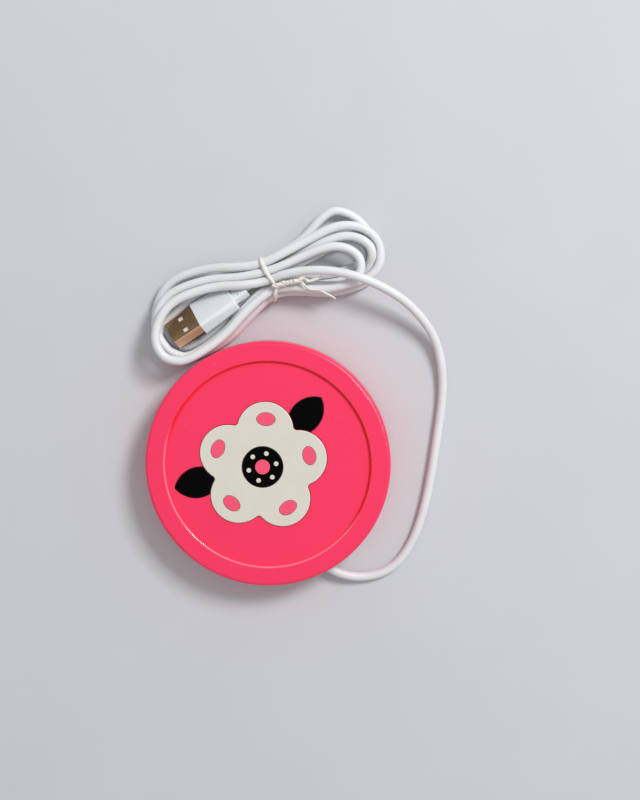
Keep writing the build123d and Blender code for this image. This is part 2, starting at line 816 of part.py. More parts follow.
# ---------------------------------------------------------------- every node
def make_nodes():
    nodes = {
        "top_cover": make_top_cover(),
        "inlay_blossom": make_blossom(),
        "inlay_eye": make_eye(),
        "inlay_bud": make_bud(),
        "inlay_seeds": make_seeds(),
        "inlay_blush_marks": make_blush_marks(),
        "heat_plate": make_heat_plate(),
        "thermal_tape": make_thermal_tape(),
        "heater_film_upper": make_upper_film(),
        "heating_trace": make_heating_trace(),
        "heater_film_lower": make_lower_film(),
        "insulation_pad": make_insulation_pad(),
        "plate_frame": make_plate_frame(),
        "base_shell": make_base_shell(),
        "base_screws": make_base_screws(),
        "cord_bush": make_cord_bush(),
        "inner_cord": make_inner_cord(),
        "cord_clamp": make_cord_clamp(),
        "clamp_screws": make_clamp_screws(),
        "lead_positive": make_lead(0),
        "lead_negative": make_lead(1),
        "solder_joints": make_solder_joints(),
        "cord_tube": make_cord_tube(),
        "cord_hank": make_cord_hank(),
        "twist_tie": make_twist_tie(),
        "plug_overmould": make_plug_overmould(),
        "plug_inner_mould": make_plug_inner_mould(),
        "plug_shell": make_plug_shell(),
        "plug_insulator": make_plug_insulator(),
        "plug_contacts": make_plug_contacts(),
    }
    for number, angle in enumerate(leaf_angles, 1):
        nodes[f"inlay_leaf_{number}"] = make_leaf(angle)
    for number, point in enumerate(foot_points(), 1):
        nodes[f"foot_{number}"] = make_foot(point)
    return nodes


os.makedirs("parts", exist_ok=True)
for name, shape in make_nodes().items():
    export_step(shape, f"parts/{name}.step")
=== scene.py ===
"""USB mug warmer: soft cover with an inlaid flower, heater stack, base, tied lead and plug."""
from math import cos, pi, radians, sin

import bmesh
import bpy
import numpy as np
from mathutils import Matrix, Vector


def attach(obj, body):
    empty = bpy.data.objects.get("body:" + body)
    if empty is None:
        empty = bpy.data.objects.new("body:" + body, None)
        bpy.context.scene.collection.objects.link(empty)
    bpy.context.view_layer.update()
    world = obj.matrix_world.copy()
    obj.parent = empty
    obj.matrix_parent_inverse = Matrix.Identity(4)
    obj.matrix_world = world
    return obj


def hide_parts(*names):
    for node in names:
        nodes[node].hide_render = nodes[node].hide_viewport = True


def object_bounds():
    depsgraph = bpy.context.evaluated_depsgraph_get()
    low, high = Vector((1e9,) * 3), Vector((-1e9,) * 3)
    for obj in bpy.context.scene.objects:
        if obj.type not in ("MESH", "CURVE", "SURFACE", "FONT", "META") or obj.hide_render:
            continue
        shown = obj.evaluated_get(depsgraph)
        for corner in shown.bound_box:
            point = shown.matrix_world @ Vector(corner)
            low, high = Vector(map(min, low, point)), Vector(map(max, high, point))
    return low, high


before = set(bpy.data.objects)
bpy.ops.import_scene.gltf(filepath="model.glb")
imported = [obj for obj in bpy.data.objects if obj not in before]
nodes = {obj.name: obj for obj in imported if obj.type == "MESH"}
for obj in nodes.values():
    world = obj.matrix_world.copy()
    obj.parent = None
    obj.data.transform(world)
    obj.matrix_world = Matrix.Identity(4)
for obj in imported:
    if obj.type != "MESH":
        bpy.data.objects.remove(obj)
cad_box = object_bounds()

# ---------------------------------------------------------------- base shell
# The base is one ABS moulding in the cover's coral, with ribs, screw posts and the cord notch.
# Its tool was spark-eroded, so the plastic has a fine dull texture that polishes where it is rubbed.


class Signal:
    """A socket in a material: sums on it add Math nodes, and node() adds any other node."""

    def __init__(self, tree, socket):
        self.tree, self.socket = tree, socket

    def node(self, kind, settings, sockets, output=0):
        made = self.tree.nodes.new("ShaderNode" + kind)
        for name, value in settings.items():
            setattr(made, name, value)
        for name, value in sockets.items():
            if isinstance(value, Signal):
                self.tree.links.new(value.socket, made.inputs[name])
            else:
                made.inputs[name].default_value = value
        return Signal(self.tree, made.outputs[output])

    def maths(self, operation, *values):
        return self.node("Math", {"operation": operation}, dict(enumerate(values)))

    def __add__(self, other):
        return self.maths("ADD", self, other)

    def __sub__(self, other):
        return self.maths("SUBTRACT", self, other)

    def __rsub__(self, other):
        return self.maths("SUBTRACT", other, self)

    def __mul__(self, other):
        return self.maths("MULTIPLY", self, other)

    def __abs__(self):
        return self.maths("ABSOLUTE", self)

    def __pow__(self, other):
        return self.maths("POWER", self, other)

    __radd__, __rmul__ = __add__, __mul__


def finish(name, recipe):
    """Material whose recipe turns a place on the piece, in metres, into the shader's sockets."""
    material = bpy.data.materials.new(name)
    material.use_nodes = True
    tree = material.node_tree
    tree.nodes.clear()
    place = Signal(tree, tree.nodes.new("ShaderNodeTexCoord").outputs["Object"])
    surface = place.node("BsdfPrincipled", {}, recipe(place))
    output = tree.nodes.new("ShaderNodeOutputMaterial")
    tree.links.new(surface.socket, output.inputs["Surface"])
    return material


def paint(material, *names):
    """Give every slot of these CAD nodes this finish."""
    for name in names:
        for slot in nodes[name].material_slots:
            slot.material = material


def cloud(place, size, detail=2.0):
    """Soft noise from 0 to 1 whose blotches are about this many metres across."""
    return place.node("TexNoise", {}, {"Vector": place, "Scale": 1 / size, "Detail": detail}, "Fac")


def band(value, low, high):
    """0 below one value, 1 above the other, smooth between."""
    return value.node("MapRange", {"interpolation_type": "SMOOTHSTEP"},
                      {"Value": value, "From Min": low, "From Max": high})


def tint(mask, low, high):
    """Colour that goes from one to the other as the mask goes from 0 to 1."""
    return mask.node("Mix", {"data_type": "RGBA"}, {0: mask, 6: low, 7: high}, 2)


def relief(height, depth):
    """Surface that stands this many metres higher where the height is 1."""
    return height.node("Bump", {}, {"Height": height, "Distance": depth}, "Normal")


def across(place, axis):
    """One coordinate of a place, in metres."""
    return place.node("SeparateXYZ", {}, {"Vector": place}, axis)


def spark_plastic(place):
    pits = cloud(place, 0.0004, 3.0)
    rubbed = band(0.002 - across(place, "Z"), -0.0005, 0.001)
    colour = tint(cloud(place, 0.009), (0.80, 0.046, 0.115, 1), (0.90, 0.056, 0.135, 1))
    return {"Base Color": tint(pits * 0.3, colour, (0.62, 0.030, 0.08, 1)),
            "Roughness": 0.52 + pits * 0.12 - rubbed * 0.08,
            "Normal": relief(pits, 0.00004)}


paint(finish("spark_plastic", spark_plastic), "base_shell")

# ---------------------------------------------------------------- screws
# Four zinc-plated steel screws hold the base to the plate frame, and two small ones the cord clamp.
# Their pan heads were turned, which leaves fine rings, and the plating is a little yellow in patches.


def zinc_plate(place):
    turned = place.node("TexWave", {"wave_type": "RINGS", "rings_direction": "Z"},
                        {"Vector": place, "Scale": 900.0, "Distortion": 1.5, "Detail": 2.0}, "Fac")
    patch = cloud(place, 0.0012, 4.0)
    colour = tint(patch, (0.46, 0.47, 0.50, 1), (0.60, 0.57, 0.49, 1))
    return {"Base Color": tint(turned * 0.25, colour, (0.33, 0.33, 0.34, 1)),
            "Metallic": 1.0,
            "Roughness": 0.24 + patch * 0.18,
            "Normal": relief(turned * 0.6 + patch * 0.4, 0.000012)}


paint(finish("zinc_plate", zinc_plate), "base_screws", "clamp_screws")

# ---------------------------------------------------------------- feet
# Four soft rubber discs sit in shallow pockets under the base and keep it from sliding.
# Their underside is matt and picks up dust round the edge.


def foot_rubber(place):
    dust = cloud(place, 0.0009, 5.0)
    scuff = cloud(place, 0.004, 3.0)
    colour = tint(scuff, (0.44, 0.43, 0.41, 1), (0.55, 0.54, 0.52, 1))
    return {"Base Color": tint(band(dust, 0.52, 0.7), colour, (0.66, 0.64, 0.60, 1)),
            "Roughness": 0.72 + dust * 0.2,
            "Normal": relief(dust + scuff * 0.5, 0.00006)}


paint(finish("foot_rubber", foot_rubber), "foot_1", "foot_2", "foot_3", "foot_4")

# ---------------------------------------------------------------- heater stack
# An etched foil track lies between two amber polyimide films, with felt below to keep the heat up
# and a grey silicone tape above that carries it into the aluminium plate.


def amber_film(place):
    ripple = cloud(place, 0.006, 2.0)
    return {"Base Color": tint(ripple, (0.56, 0.20, 0.016, 1), (0.70, 0.29, 0.035, 1)),
            "Roughness": 0.16 + ripple * 0.12,
            "Coat Weight": 0.6,
            "Normal": relief(ripple, 0.00008)}


def etched_foil(place):
    grain = cloud(place, 0.0003, 3.0)
    heat = cloud(place, 0.012, 2.0)
    return {"Base Color": tint(heat, (0.57, 0.38, 0.17, 1), (0.66, 0.47, 0.27, 1)),
            "Metallic": 1.0,
            "Roughness": 0.32 + grain * 0.2,
            "Normal": relief(grain, 0.00001)}


def rolled_aluminium(place):
    rolled = place.node("Mapping", {}, {"Vector": place, "Scale": (1.0, 0.03, 1.0)})
    streak = cloud(rolled, 0.00025, 4.0)
    return {"Base Color": tint(streak, (0.56, 0.57, 0.59, 1), (0.72, 0.73, 0.74, 1)),
            "Metallic": 1.0,
            "Roughness": 0.28 + streak * 0.2,
            "Normal": relief(streak, 0.000015)}


def silicone_tape(place):
    filler = cloud(place, 0.00035, 4.0)
    return {"Base Color": tint(filler, (0.30, 0.32, 0.34, 1), (0.42, 0.44, 0.47, 1)),
            "Roughness": 0.66 + filler * 0.2,
            "Normal": relief(filler, 0.00004)}


def needled_felt(place):
    stretched = place.node("Mapping", {}, {"Vector": place, "Scale": (1.0, 0.25, 1.0)})
    fibres = cloud(stretched, 0.0004, 8.0)
    needle = place.node("TexVoronoi", {"distance": "EUCLIDEAN"},
                        {"Vector": place, "Scale": 450.0}, "Distance")
    return {"Base Color": tint(fibres, (0.60, 0.60, 0.57, 1), (0.84, 0.84, 0.81, 1)),
            "Roughness": 0.88 + fibres * 0.1,
            "Normal": relief(fibres + needle * 0.7, 0.00025)}


paint(finish("amber_film", amber_film), "heater_film_upper", "heater_film_lower")
paint(finish("etched_foil", etched_foil), "heating_trace")
paint(finish("rolled_aluminium", rolled_aluminium), "heat_plate")
paint(finish("silicone_tape", silicone_tape), "thermal_tape")
paint(finish("needled_felt", needled_felt), "insulation_pad")

# ---------------------------------------------------------------- plate frame and cord clamp
# The ring under the hot plate and the small bar over the lead are natural glass-filled nylon.
# The short fibres show as pale flecks that lie along the way the plastic flowed.


def glass_nylon(place):
    flow = place.node("Mapping", {}, {"Vector": place, "Scale": (0.3, 1.0, 1.0)})
    fleck = band(cloud(flow, 0.0003, 3.0), 0.55, 0.68)
    mottle = cloud(place, 0.005)
    colour = tint(mottle, (0.64, 0.64, 0.60, 1), (0.72, 0.72, 0.68, 1))
    return {"Base Color": tint(fleck * 0.7, colour, (0.84, 0.84, 0.82, 1)),
            "Roughness": 0.50 + fleck * 0.2,
            "Normal": relief(fleck + mottle, 0.00002)}


paint(finish("glass_nylon", glass_nylon), "plate_frame", "cord_clamp")

# ---------------------------------------------------------------- soft cover
# Coral PVC is moulded over the whole top in one piece: skirt, round rim and shallow warming recess.
# It is satin and slightly waxy, with a fine grain and faint flow marks.
# The corner and wall of the recess step on its far side, and the inlays' pockets, are painted deep
# red as shade. On the lit near side the step's lip is painted paler as a highlight. The lip is
# glossier all round.
recess_radius = 0.0402
recess_depth = 0.0012
warm_surface = cad_box[1].z - recess_depth
coral = (0.985, 0.038, 0.124, 1)
coral_shade = (0.92, 0.026, 0.090, 1)
# Deep red used as painted shade.
coral_painted_shade = (0.90, 0.0005, 0.018, 1)
# Pale pink used as a painted highlight.
coral_painted_highlight = (0.98, 0.26, 0.36, 1)
coral_lint = (0.95, 0.30, 0.36, 1)


def upward_part(place):
    """1 where the surface faces straight up, 0 on an upright wall."""
    return across(place.node("NewGeometry", {}, {}, "Normal"), "Z")


def radius_of(place):
    """Distance from the body's axis, in metres."""
    x, y = across(place, "X"), across(place, "Y")
    return (x * x + y * y) ** 0.5


def soft_pvc(place):
    grain = cloud(place, 0.00022, 2.0)
    flow = cloud(place, 0.014, 3.0)
    lint = band(cloud(place, 0.0016, 6.0), 0.66, 0.74)
    from_step = radius_of(place) - recess_radius
    # The lit side is the lower side of the recess, where the step faces the lamp.
    lit_side = 1 - band(across(place, "X") * 0.45 + across(place, "Y"), -0.016, 0.002)
    # Painted shade masks: the recess floor beside the step, the step's upright wall and the inlays'
    # pockets.
    corner = band(from_step, -0.0018, -0.0001) ** 2 * (1 - band(from_step, 0.0003, 0.0006))
    wall = (1 - band(upward_part(place), 0.2, 0.8)) * (1 - band(from_step, 0.0010, 0.0020))
    below = 1 - band(across(place, "Z") - warm_surface, -0.0003, -0.0001)
    pocket = below * (1 - band(from_step, -0.002, -0.001))
    lip = band(from_step, -0.0001, 0.0001) * (1 - band(from_step, 0.0004, 0.0008))
    # Painted shade: deep red on the far side's corner and wall, and in all the pockets.
    painted_shade_mask = corner * (1 - lit_side) * 0.9 + wall * (1 - lit_side) * 0.5 + pocket
    colour = tint(painted_shade_mask, tint(flow * 0.35, coral, coral_shade), coral_painted_shade)
    # Painted highlight: the lip is tinted paler on the lit side. Its coat and lower roughness are real
    # gloss.
    colour = tint(lip * lit_side * 0.6, colour, coral_painted_highlight)
    return {"Base Color": tint(lint * 0.10, colour, coral_lint),
            "Roughness": 0.24 + grain * 0.08 + flow * 0.10 - lip * 0.08 + wall * 0.5,
            "Specular IOR Level": 0.42,
            "Coat Weight": lip * 0.7,
            "Normal": relief(grain, 0.000006)}


paint(finish("soft_pvc", soft_pvc), "top_cover")

# ---------------------------------------------------------------- inlaid flower
# Liquid PVC in cream, black and pink is dropped into pockets in the cover and oven-cured.
# Each colour stands a hair above its pocket, with a soft edge and tiny specks in its face.
# Its rounded edge is painted lighter as a highlight, and the cream and pink are painted deep red as
# shade on their upright sides.


def dropped_pvc(name, face, deep, brim, side, dull=0.34, gloss=0.4, speck=(0.9, 0.88, 0.84, 1),
                specks=0.12):
    """Cured colour with a faint mottle, a few specks and a slight orange peel, rounded at its brim.
    The brim colour is a painted highlight, and the side colour goes on the upright sides.
    """

    def recipe(place):
        mottle = cloud(place, 0.006, 3.0)
        peel = cloud(place, 0.0007, 2.0)
        dots = band(cloud(place, 0.0005, 2.0), 0.70, 0.76)
        facing = upward_part(place)
        # Painted highlight on the rounded brim, and the side colour on the upright sides.
        colour = tint(band(facing, 0.90, 0.985), brim, tint(mottle, deep, face))
        colour = tint(band(facing, 0.55, 0.85), side, colour)
        return {"Base Color": tint(dots * specks, colour, speck),
                "Roughness": dull + peel * 0.10 + mottle * 0.06,
                "Specular IOR Level": gloss,
                "Normal": relief(peel, 0.000008)}

    return finish(name, recipe)


# Every brim colour is a painted highlight. The cream and pink side colours are painted shade.
cream = dropped_pvc("cream_inlay", face=(0.745, 0.715, 0.625, 1), deep=(0.68, 0.65, 0.56, 1),
                    brim=(0.90, 0.88, 0.83, 1), side=(0.50, 0.012, 0.040, 1),
                    speck=(0.42, 0.36, 0.30, 1))
black = dropped_pvc("black_inlay", face=(0.0016, 0.0011, 0.0011, 1), deep=(0.0009, 0.0006, 0.0006, 1),
                    brim=(0.045, 0.040, 0.040, 1), side=(0.010, 0.004, 0.005, 1),
                    dull=0.22, gloss=0.05, specks=0.02)
pink = dropped_pvc("pink_inlay", face=(0.96, 0.100, 0.200, 1), deep=(0.92, 0.075, 0.160, 1),
                   brim=(0.98, 0.22, 0.33, 1), side=(0.55, 0.006, 0.035, 1))
paint(cream, "inlay_blossom", "inlay_seeds")
paint(black, "inlay_eye", "inlay_leaf_1", "inlay_leaf_2")
paint(pink, "inlay_bud", "inlay_blush_marks")

# ---------------------------------------------------------------- lead into the body
# The white lead comes in through a moulded bush, is clamped, and splits into a red and a black wire
# that are soldered to the two pads of the heating track.


def white_jacket(place):
    skin = cloud(place, 0.00035, 3.0)
    soiling = cloud(place, 0.011, 4.0)
    colour = tint(band(soiling, 0.35, 0.75) * 0.6, (0.775, 0.785, 0.81, 1), (0.71, 0.71, 0.725, 1))
    return {"Base Color": tint(skin * 0.12, colour, (0.60, 0.60, 0.62, 1)),
            "Roughness": 0.36 + skin * 0.12 + soiling * 0.06,
            "Normal": relief(skin, 0.000014)}


def wire_skin(name, face, deep):
    """Smooth thin insulation with faint length-wise streaks."""

    def recipe(place):
        streak = cloud(place, 0.0008, 3.0)
        return {"Base Color": tint(streak, deep, face),
                "Roughness": 0.28 + streak * 0.16,
                "Normal": relief(streak, 0.00001)}

    return finish(name, recipe)


def tin_solder(place):
    frost = cloud(place, 0.0005, 5.0)
    return {"Base Color": tint(frost, (0.50, 0.50, 0.51, 1), (0.70, 0.70, 0.70, 1)),
            "Metallic": 1.0,
            "Roughness": 0.18 + frost * 0.3,
            "Normal": relief(frost, 0.00004)}


jacket = finish("white_jacket", white_jacket)
paint(jacket, "cord_bush", "inner_cord")
paint(wire_skin("red_wire", (0.55, 0.018, 0.012, 1), (0.42, 0.010, 0.008, 1)), "lead_positive")
paint(wire_skin("black_wire", (0.020, 0.020, 0.021, 1), (0.010, 0.010, 0.011, 1)), "lead_negative")
paint(finish("tin_solder", tin_solder), "solder_joints")

# ---------------------------------------------------------------- lead and hank
# One soft PVC lead leaves the bush, runs round the body on the table and climbs onto its own hank.
# The hank is five turns in a bow tie, wound by hand and pinched at the waist, so the turns differ.
cord_diameter = 0.0035
outlet = (0.0176, -0.0368, 0.0051)
free_lead = [
    outlet, (0.0218, -0.0411, 0.0051), (0.0284, -0.0454, 0.0034), (0.0374, -0.0469, 0.0018),
    (0.0463, -0.0447, 0.0018), (0.0534, -0.0387, 0.0018), (0.0593, -0.0274, 0.0018),
    (0.0634, -0.0110, 0.0018), (0.0664, 0.0090, 0.0018), (0.0692, 0.0305, 0.0018),
    (0.0664, 0.0476, 0.0036), (0.0588, 0.0588, 0.0076), (0.0494, 0.0668, 0.0114)]
waist = Vector((-0.0007, 0.0717))
hank_turn = radians(25.0)
body_radius = 0.048
body_gap, plug_gap, table_gap = 0.0003, 0.0001, 0.00005
turn_gap = cord_diameter * 1.015     # from the middle of one turn to the middle of the next
same_stretch = 4 * cord_diameter     # places nearer than this along the lead don't press apart
near_outlet = 0.12                   # the first stretch, which may touch the body

# In the hank's own frame: along it, across it and above the table.
climb = [(0.0325, -0.0128, 0.0136), (0.0200, -0.0046, 0.0130), (0.0080, -0.0008, 0.0114)]
# Where each turn is widest on its way out, furthest out, and widest on its way back, first in the
# left lobe, then in the right one.
turns = [
    (((-0.0305, 0.0084, 0.0104), (-0.0496, -0.0070, 0.0124), (-0.0378, -0.0156, 0.0124)),
     ((0.0270, -0.0150, 0.0087), (0.0362, -0.0080, 0.0084), (0.0220, 0.0022, 0.0090))),
    (((-0.0315, 0.0118, 0.0070), (-0.0478, -0.0025, 0.0088), (-0.0374, -0.0148, 0.0088)),
     ((0.0305, -0.0155, 0.0053), (0.0452, -0.0045, 0.0046), (0.0280, 0.0082, 0.0076))),
    (((-0.0295, 0.0162, 0.0046), (-0.0492, -0.0080, 0.0018), (-0.0370, -0.0156, 0.0018)),
     ((0.0320, -0.0174, 0.0022), (0.0438, -0.0015, 0.0018), (0.0294, 0.0149, 0.0044))),
    (((-0.0300, 0.0092, 0.0036), (-0.0488, -0.0045, 0.0053), (-0.0370, -0.0150, 0.0053)),
     ((0.0345, -0.0134, 0.0022), (0.0422, -0.0070, 0.0072), (0.0285, 0.0039, 0.0066))),
    (((-0.0190, 0.0062, 0.0018), (-0.0458, -0.0030, 0.0018), (-0.0370, -0.0112, 0.0018)),
     ((0.0325, -0.0113, 0.0024), (0.0388, -0.0052, 0.0034), (0.0260, 0.0018, 0.0032)))]
# How much of its width a turn still has two thirds and a third of the way out, as it comes back.
# In the right lobe three turns come back close together.
usual_return = (0.80, 0.22)
close_return = {1: (0.40, -0.30), 2: (0.30, 0.15), 3: (0.35, 0.10)}
# Across and height of each pass under the tie, in the order in which the lead makes them.
passes = [
    (-0.0005, 0.0089), (-0.0040, 0.0089), (0.0033, 0.0089), (-0.0020, 0.0057), (0.0065, 0.0086),
    (-0.0056, 0.0057), (0.0052, 0.0056), (-0.0038, 0.0026), (0.0035, 0.0026), (-0.0002, 0.0026),
    (0.0017, 0.0057)]

plug_back = Vector((-0.0143, 0.0654, 0.0069))
plug_heading, plug_roll = radians(213.7), radians(43.0)
plug_axis = Vector((cos(plug_heading), sin(plug_heading), 0))
plug_up = Vector((sin(plug_heading) * sin(plug_roll), -cos(plug_heading) * sin(plug_roll),
                  cos(plug_roll)))
plug_across = plug_up.cross(plug_axis)
neck_length = 0.006
mould_end, shell_end = 0.0163, 0.0283
# Start and end along the plug's axis, half width and half thickness of its neck, moulding and shell.
plug_blocks = [(-neck_length, 0.0, 0.0038, 0.0019), (0.0, mould_end, 0.00675, 0.00315),
               (mould_end, shell_end, 0.0060, 0.00225)]


def from_hank(along, sideways, height):
    """Where a place in the hank's own frame lies on the table."""
    turned = Matrix.Rotation(hank_turn, 2) @ Vector((along, sideways))
    return (waist.x + turned.x, waist.y + turned.y, height)


def flank(waist_pass, widest, shares, spreads):
    """Control points between a pass under the tie and the widest place of a lobe."""
    sideways, height = waist_pass
    return [(widest[0] * share, sideways + (widest[1] - sideways) * spread,
             height + (widest[2] - height) * share) for share, spread in zip(shares, spreads)]


def lobe(enter, first, tip, last, leave, spreads):
    """Control points of one lobe of one turn, from the tie out round the tip and back."""
    points = flank(enter, first, (0.3, 0.66), (0.22, 0.80))
    # Two quarters of an ellipse, each with three points where its tangents meet.
    for start, end, widest in ((first, tip, first), (tip, last, last)):
        corner = (widest[0], tip[1])
        bulge = 1 / cos(radians(15))
        for angle in (15, 45, 75):
            one, two = cos(radians(angle)) * bulge, sin(radians(angle)) * bulge
            points.append((corner[0] + (start[0] - corner[0]) * one + (end[0] - corner[0]) * two,
                           corner[1] + (start[1] - corner[1]) * one + (end[1] - corner[1]) * two,
                           start[2] + (end[2] - start[2]) * angle / 90))
    return points + flank(leave, last, (0.66, 0.3), spreads)


def smooth_line(count, steps):
    """Weights that turn control points into places along their order 3 spline."""
    last = count - 3
    rows = [(span, step / steps) for span in range(last + 1) for step in range(steps)] + [(last, 1.0)]
    weights = np.zeros((len(rows), count))
    for row, (span, share) in enumerate(rows):
        low = (1 - share) ** 2 * (1.0 if span == 0 else 0.5)
        high = share ** 2 * (1.0 if span == last else 0.5)
        weights[row, span:span + 3] = low, 1 - low - high, high
    return weights


def clear_of_plug(line):
    """How far each place must move to clear the plug."""
    away = np.zeros_like(line)
    local = line - np.array(plug_back)
    along, wide, high = (local @ np.array(axis) for axis in (plug_axis, plug_across, plug_up))
    for start, end, half_width, half_height in plug_blocks:
        beyond = np.maximum(np.maximum(start - along, along - end), 0)
        over_width, over_height = np.abs(wide) - half_width, np.abs(high) - half_height
        out_width, out_height = np.maximum(over_width, 0), np.maximum(over_height, 0)
        outside = np.sqrt(out_width ** 2 + out_height ** 2 + beyond ** 2)
        depth = np.where(outside > 0, outside, np.maximum(over_width, over_height))
        short = np.maximum(cord_diameter / 2 + plug_gap - depth, 0)
        sideways = np.where(outside > 0, out_width, (over_width > over_height) * 1.0)
        upward = np.where(outside > 0, out_height, (over_width <= over_height) * 1.0)
        scale = short / np.sqrt(sideways ** 2 + upward ** 2 + 1e-12)
        away += (scale * sideways * np.sign(wide))[:, None] * np.array(plug_across)
        away += (scale * upward * np.sign(high))[:, None] * np.array(plug_up)
    return away


def settle(points, held, rounds=140, steps=6, press=0.45, stride=1.6, pull_back=0.004):
    """Let the turns give way to each other, the plug, the table and the body for a set number of
    rounds.

    Each round moves a point by what the places near it are short of, and a little back to its start.
    """
    points = np.array(points)
    drawn = points.copy()
    weights = smooth_line(len(points), steps)
    free = np.array([number not in held for number in range(len(points))])
    for _ in range(rounds):
        line = weights @ points
        reach = np.r_[0, np.cumsum(np.linalg.norm(np.diff(line, axis=0), axis=1))]
        apart = line[:, None] - line[None]
        distance = np.sqrt((apart ** 2).sum(2))
        other_turn = np.abs(reach[:, None] - reach[None]) > same_stretch
        short = np.where(other_turn, np.maximum(turn_gap - distance, 0), 0)
        touching = np.maximum((short > 0).sum(1), 1)[:, None]
        away = apart / (distance[:, :, None] + 1e-9) * short[:, :, None]
        push = away.sum(1) * press / touching ** 0.5
        push += clear_of_plug(line)
        push[:, 2] += np.maximum(cord_diameter / 2 + table_gap - line[:, 2], 0)
        from_axis = np.hypot(line[:, 0], line[:, 1])
        inside = np.maximum(body_radius + cord_diameter / 2 + body_gap - from_axis, 0)
        inside = np.where(reach > near_outlet, inside, 0)
        push[:, :2] += (inside / from_axis)[:, None] * line[:, :2]
        move = (weights.T @ push) / weights.sum(0)[:, None] * stride
        points[free] += move[free] + (drawn - points)[free] * pull_back
    return points


route = list(free_lead) + [from_hank(*place) for place in climb]
held = set(range(len(free_lead) - 3))
for number, (left, right) in enumerate(turns):
    first, second, third = passes[2 * number:2 * number + 3]
    back = close_return.get(number, usual_return)
    for enter, three, leave, spreads in ((first, left, second, usual_return),
                                         (second, right, third, back)):
        held.add(len(route))
        route.append(from_hank(0.0, *enter))
        route += [from_hank(*place) for place in lobe(enter, *three, leave, spreads)]
held.add(len(route))
route.append(from_hank(0.0, *passes[-1]))
for behind in (0.0040, -0.0004):     # the lead's end lies a little inside the neck
    held.add(len(route))
    route.append(tuple(plug_back - plug_axis * (neck_length + behind)))
route = settle(route, held)

lead_data = bpy.data.curves.new("lead", "CURVE")
lead_data.dimensions = "3D"
spline = lead_data.splines.new("NURBS")
spline.points.add(len(route) - 1)
for point, place in zip(spline.points, route):
    point.co = (*place, 1.0)
spline.order_u = 3
spline.use_endpoint_u = True
spline.resolution_u = 7
lead_data.bevel_depth = cord_diameter / 2
lead_data.bevel_resolution = 6
lead_data.use_fill_caps = True
lead_data.materials.append(jacket)
lead = bpy.data.objects.new("lead", lead_data)
bpy.context.collection.objects.link(lead)
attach(lead, "root")
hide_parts("cord_tube", "cord_hank")

# ---------------------------------------------------------------- twist tie
# A strip of ivory paper over a thin wire goes once round the waist of the hank.
# Its ends are twisted together by hand into a crumpled stem, and two flat tails stick out.
tie_thickness, tail_thickness = 0.0007, 0.00035
# Outline of the strip across its run, in half widths and half thicknesses: thin edges, and a wire
# that stands proud along the middle of the upper side.
strip_outline = [(1.0, 0.35), (0.55, 0.55), (0.28, 1.0), (-0.28, 1.0), (-0.55, 0.55),
                 (-1.0, 0.35), (-1.0, -0.35), (-0.4, -0.8), (0.4, -0.8), (1.0, -0.35)]


def waxed_paper(place):
    fibre = cloud(place, 0.0003, 5.0)
    crease = cloud(place, 0.0011, 3.0)
    colour = tint(crease, (0.76, 0.725, 0.65, 1), (0.87, 0.85, 0.80, 1))
    return {"Base Color": tint(fibre * 0.2, colour, (0.60, 0.55, 0.46, 1)),
            "Roughness": 0.46 + fibre * 0.2,
            "Normal": relief(crease + fibre * 0.4, 0.00012)}


def add_strip(mesh, line, ups, widths, thickness):
    """Ribbon with a raised wire down its middle, along a line, with one up vector at each place."""
    rings = []
    for number, (place, up, width) in enumerate(zip(line, ups, widths)):
        ahead = (line[min(number + 1, len(line) - 1)] - line[max(number - 1, 0)]).normalized()
        side = ahead.cross(up).normalized()
        top = side.cross(ahead).normalized()
        rings.append([mesh.verts.new(place + side * sideways * width / 2 + top * upward * thickness / 2)
                      for sideways, upward in strip_outline])
    for one, two in zip(rings, rings[1:]):
        for a, b, c, d in zip(one, one[1:] + one[:1], two[1:] + two[:1], two):
            mesh.faces.new((a, b, c, d))
    mesh.faces.new(rings[0][::-1])
    mesh.faces.new(rings[-1])


def bend_through(places, steps=8):
    """Smooth line and widths from a row of (along, across, height, width) in the hank's frame."""
    smooth = smooth_line(len(places), steps) @ np.array(places)
    return [Vector(from_hank(*row[:3])) for row in smooth], [row[3] for row in smooth]


tie_mesh = bmesh.new()
# Round the bundle from the stem, over the far side, underneath and up again to the stem.
round_waist = [
    (0.0026, -0.0036, 0.0121, 0.0009), (0.0021, -0.0022, 0.0117, 0.0011),
    (0.0015, 0.0008, 0.0114, 0.0015), (0.0012, 0.0042, 0.0112, 0.0019),
    (0.0013, 0.0083, 0.0108, 0.0017), (0.0014, 0.0093, 0.0070, 0.0014),
    (0.0010, 0.0080, 0.0022, 0.0015), (0.0004, 0.0045, 0.0006, 0.0018),
    (-0.0002, -0.0010, 0.0004, 0.0018), (-0.0008, -0.0064, 0.0006, 0.0018),
    (-0.0010, -0.0086, 0.0030, 0.0020), (-0.0008, -0.0085, 0.0075, 0.0019),
    (0.0004, -0.0072, 0.0106, 0.0017), (0.0014, -0.0055, 0.0118, 0.0013),
    (0.0026, -0.0042, 0.0121, 0.0009)]
line, widths = bend_through(round_waist, 7)
middle = Vector(from_hank(0.0004, 0.0, 0.0060))
add_strip(tie_mesh, line, [place - middle for place in line], widths, tie_thickness)

stem_start, stem_end = Vector((0.0020, -0.0036)), Vector((0.0122, -0.0058))
stem_steps = 60
for strand in range(2):
    line, ups, widths = [], [], []
    for number in range(stem_steps + 1):
        share = number / stem_steps
        angle = pi * strand + share * 7.5 * pi
        spread = 0.00062 + 0.00014 * sin(31 * share + 2 * strand)
        flat = stem_start.lerp(stem_end, share)
        bow = 0.0003 * sin(pi * share)
        height = 0.0122 + 0.0003 * share + spread * sin(angle)
        line.append(Vector(from_hank(flat.x, flat.y + bow + spread * cos(angle), height)))
        ups.append(Vector((0.3 * sin(17 * share), cos(angle), sin(angle))))
        widths.append(0.0021 + 0.0004 * sin(47 * share + strand) + 0.0003 * sin(83 * share))
    add_strip(tie_mesh, line, ups, widths, tie_thickness)

